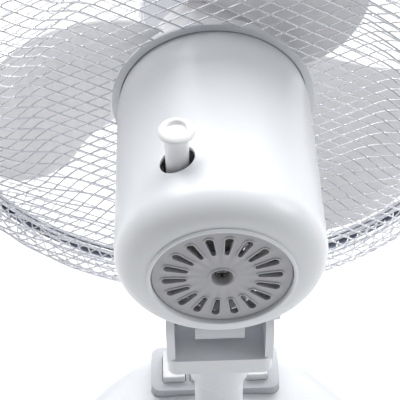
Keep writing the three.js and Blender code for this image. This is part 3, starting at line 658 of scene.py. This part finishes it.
# ---------- column, base and buttons ----------
def stand():
    centre = Vector((SWIVEL.x, SWIVEL.y, 0))
    base_low, base_high = corners("base_cover")
    radius = (base_high.x - base_low.x) / 2 / MM
    top = corners("column")[1].z / MM
    tube = turned("column_tube", [(14, 6), (26, 6), (26, 8.5), (16, 8.5), (16, top), (14, top)], 72,
                  closed=True, upright=True, centre=centre)
    put(tube, "base", "housing_white", HOUSING, "column")
    collar = turned("collar", [(16.3, 34.3), (24.4, 34.3), (25, 35), (24.6, 37), (22.6, 39.6), (19.6, 43.4),
                               (18.6, 46), (18, 46.8), (17.2, 47), (16.3, 46.8)], 72,
                    closed=True, upright=True, centre=centre)
    put(collar, "base", "housing_white", HOUSING, "column_collar")

    outside = [(radius - 2.5, 3.3), (radius - 0.4, 3.3), (radius, 3.9), (radius, 15), (radius - 0.7, 17.2),
               (radius - 2.6, 19.4), (radius - 6, 21.2), (radius - 12, 22.6), (85, 26.6), (60, 30.8),
               (40, 32.8), (16.5, 34)]
    inside = [(16.5, 31.5), (40, 30.3), (60, 28.4), (85, 24), (radius - 12, 20), (radius - 5, 17.8),
              (radius - 2.5, 15)]
    cover = turned("base_shell", outside + inside, 144, closed=True, upright=True, centre=centre)
    panel_low, panel_high = corners("switch_panel")
    middle = tuple(middle_of(panel_low, panel_high).xy / MM)
    half = ((panel_high.x - panel_low.x) / 2 / MM, (panel_high.y - panel_low.y) / 2 / MM)
    ground = Vector((0, 0, 0))
    hole = slab("panel_hole", rounded(half[0] + 0.3, half[1] + 0.3, 8, middle), 8, 60, ground)
    combine(cover, hole, "DIFFERENCE")
    bore_at = Vector((0, 0, middle_of(*corners("cable_grommet")).z))
    bore = turned("cable_bore", [(0, 100), (4.4, 100), (4.4, 300), (0, 300)], 32, centre=bore_at)
    combine(cover, bore, "DIFFERENCE")
    smooth(cover, 40)
    put(cover, "base", "housing_white", HOUSING, "base_cover")

    panel_top = panel_high.z / MM
    panel = slab("panel", rounded(half[0], half[1], 7.7, middle), 8, panel_top, ground)
    combine(panel, slab("hollow", rounded(half[0] - 2, half[1] - 2, 5.7, middle), 0, panel_top - 2.5, ground),
            "DIFFERENCE")
    keys = []
    for number in range(4):
        low, high = (corner / MM for corner in corners(f"button_{number}"))
        place = ((low.x + high.x) / 2, (low.y + high.y) / 2)
        size = ((high.x - low.x) / 2, (high.y - low.y) / 2)
        window = slab("window", rounded(size[0] + 0.3, size[1] + 0.3, 2.4, place), 20, 60, ground)
        combine(panel, window, "DIFFERENCE")
        keys.append((number, place, size, low.z, high.z))
    soften(panel, 0.7, 3, 50)
    put(panel, "base", "pale_plastic", PANEL, "switch_panel")
    for number, place, size, low, high in keys:
        push_button(number, place, size, low, high)


def push_button(number, place, size, low, high):
    """A key with a shallow finger dish and a plain printed numeral."""
    along, across = 14, 14
    points, faces = [], []
    for i in range(along + 1):
        for j in range(across + 1):
            a, b = 2 * i / along - 1, 2 * j / across - 1
            dish = 1.3 * (1 - a * a) * (1 - b * b)
            x = place[0] + a * (size[0] - 0.2)
            y = place[1] + b * (size[1] - 0.2)
            points.append(Vector((x, y, high - dish)) * MM)
    row = across + 1
    for i in range(along):
        for j in range(across):
            first = i * row + j
            faces.append((first, first + row, first + row + 1, first + 1))
    rim = [i * row for i in range(along + 1)] + [along * row + j for j in range(1, across + 1)]
    rim += [i * row + across for i in range(along - 1, -1, -1)] + [j for j in range(across - 1, 0, -1)]
    first = len(points)
    for index in rim:
        x, y, _ = points[index]
        points.append(Vector((x, y, low * MM)))
    count = len(rim)
    for k in range(count):
        after = (k + 1) % count
        faces.append((rim[after], rim[k], first + k, first + after))
    faces.append(tuple(first + k for k in reversed(range(count))))
    key = from_lists(f"key_{number}", points, faces)
    face_outwards(key)
    soften(key, 1.1, 3, 50, 40)
    put(key, f"button_{number}", "button_white", KNOB, f"button_{number}")
    text = bpy.data.curves.new(f"mark_{number}", "FONT")
    text.body = str(number)
    text.size = 6.5 * MM
    text.align_x = "CENTER"
    text.align_y = "CENTER"
    text.extrude = 0.12 * MM
    mark = bpy.data.objects.new(f"mark_{number}", text)
    bpy.context.collection.objects.link(mark)
    mark.location = Vector((place[0], place[1], high - 1.26)) * MM
    mark.data.materials.append(PRINT)
    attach(mark, f"button_{number}")


# ---------- floor, lights, camera ----------
def studio():
    bpy.ops.mesh.primitive_plane_add(size=60, location=(0, 0, 0))
    floor = bpy.context.object
    floor.name = "floor"
    paper = surface("floor paper", (0.93, 0.93, 0.935), 0.85, mottle=0.004, grain=300, bump=0.01)
    floor.data.materials.append(paper)

    world = bpy.data.worlds.new("studio")
    bpy.context.scene.world = world
    world.use_nodes = True
    sky = world.node_tree.nodes["Background"]
    sky.inputs["Color"].default_value = (0.97, 0.985, 1.0, 1)
    sky.inputs["Strength"].default_value = 0.22

    def softbox(name, place, aim, size, power):
        light = bpy.data.lights.new(name, "AREA")
        light.shape = "RECTANGLE"
        light.size = size[0]
        light.size_y = size[1]
        light.energy = power
        lamp = bpy.data.objects.new(name, light)
        bpy.context.collection.objects.link(lamp)
        lamp.location = place
        lamp.rotation_euler = (Vector(aim) - Vector(place)).to_track_quat("-Z", "Y").to_euler()

    softbox("front_top", (0.0, -1.9, 3.4), (0, 0, 0.2), (6.5, 3.4), 315)
    softbox("side", (-3.2, 0.6, 1.9), (0, 0, 0.3), (1.4, 1.4), 22)


def camera():
    """Behind and above the head, as in the photograph: long lens, close in."""
    azimuth = math.radians(2.13)
    elevation = math.radians(47.5)
    distance = 0.68
    back = Vector((math.sin(azimuth) * math.cos(elevation), math.cos(azimuth) * math.cos(elevation),
                   math.sin(elevation)))
    data = bpy.data.cameras.new("camera")
    data.lens = 108
    data.sensor_width = 36
    data.shift_x = -0.045
    data.shift_y = -0.0195
    data.clip_start = 0.02
    view = bpy.data.objects.new("camera", data)
    bpy.context.collection.objects.link(view)
    view.location = HEAD + back * distance
    view.rotation_euler = (-back).to_track_quat("-Z", "Y").to_euler()
    bpy.context.scene.camera = view


camera()
motor_cover()
vent_disc()
cross_screw()
knob()
guards()
fan_blade()
wiring()
neck()
stand()
studio()
bpy.context.scene.view_settings.view_transform = "Standard"
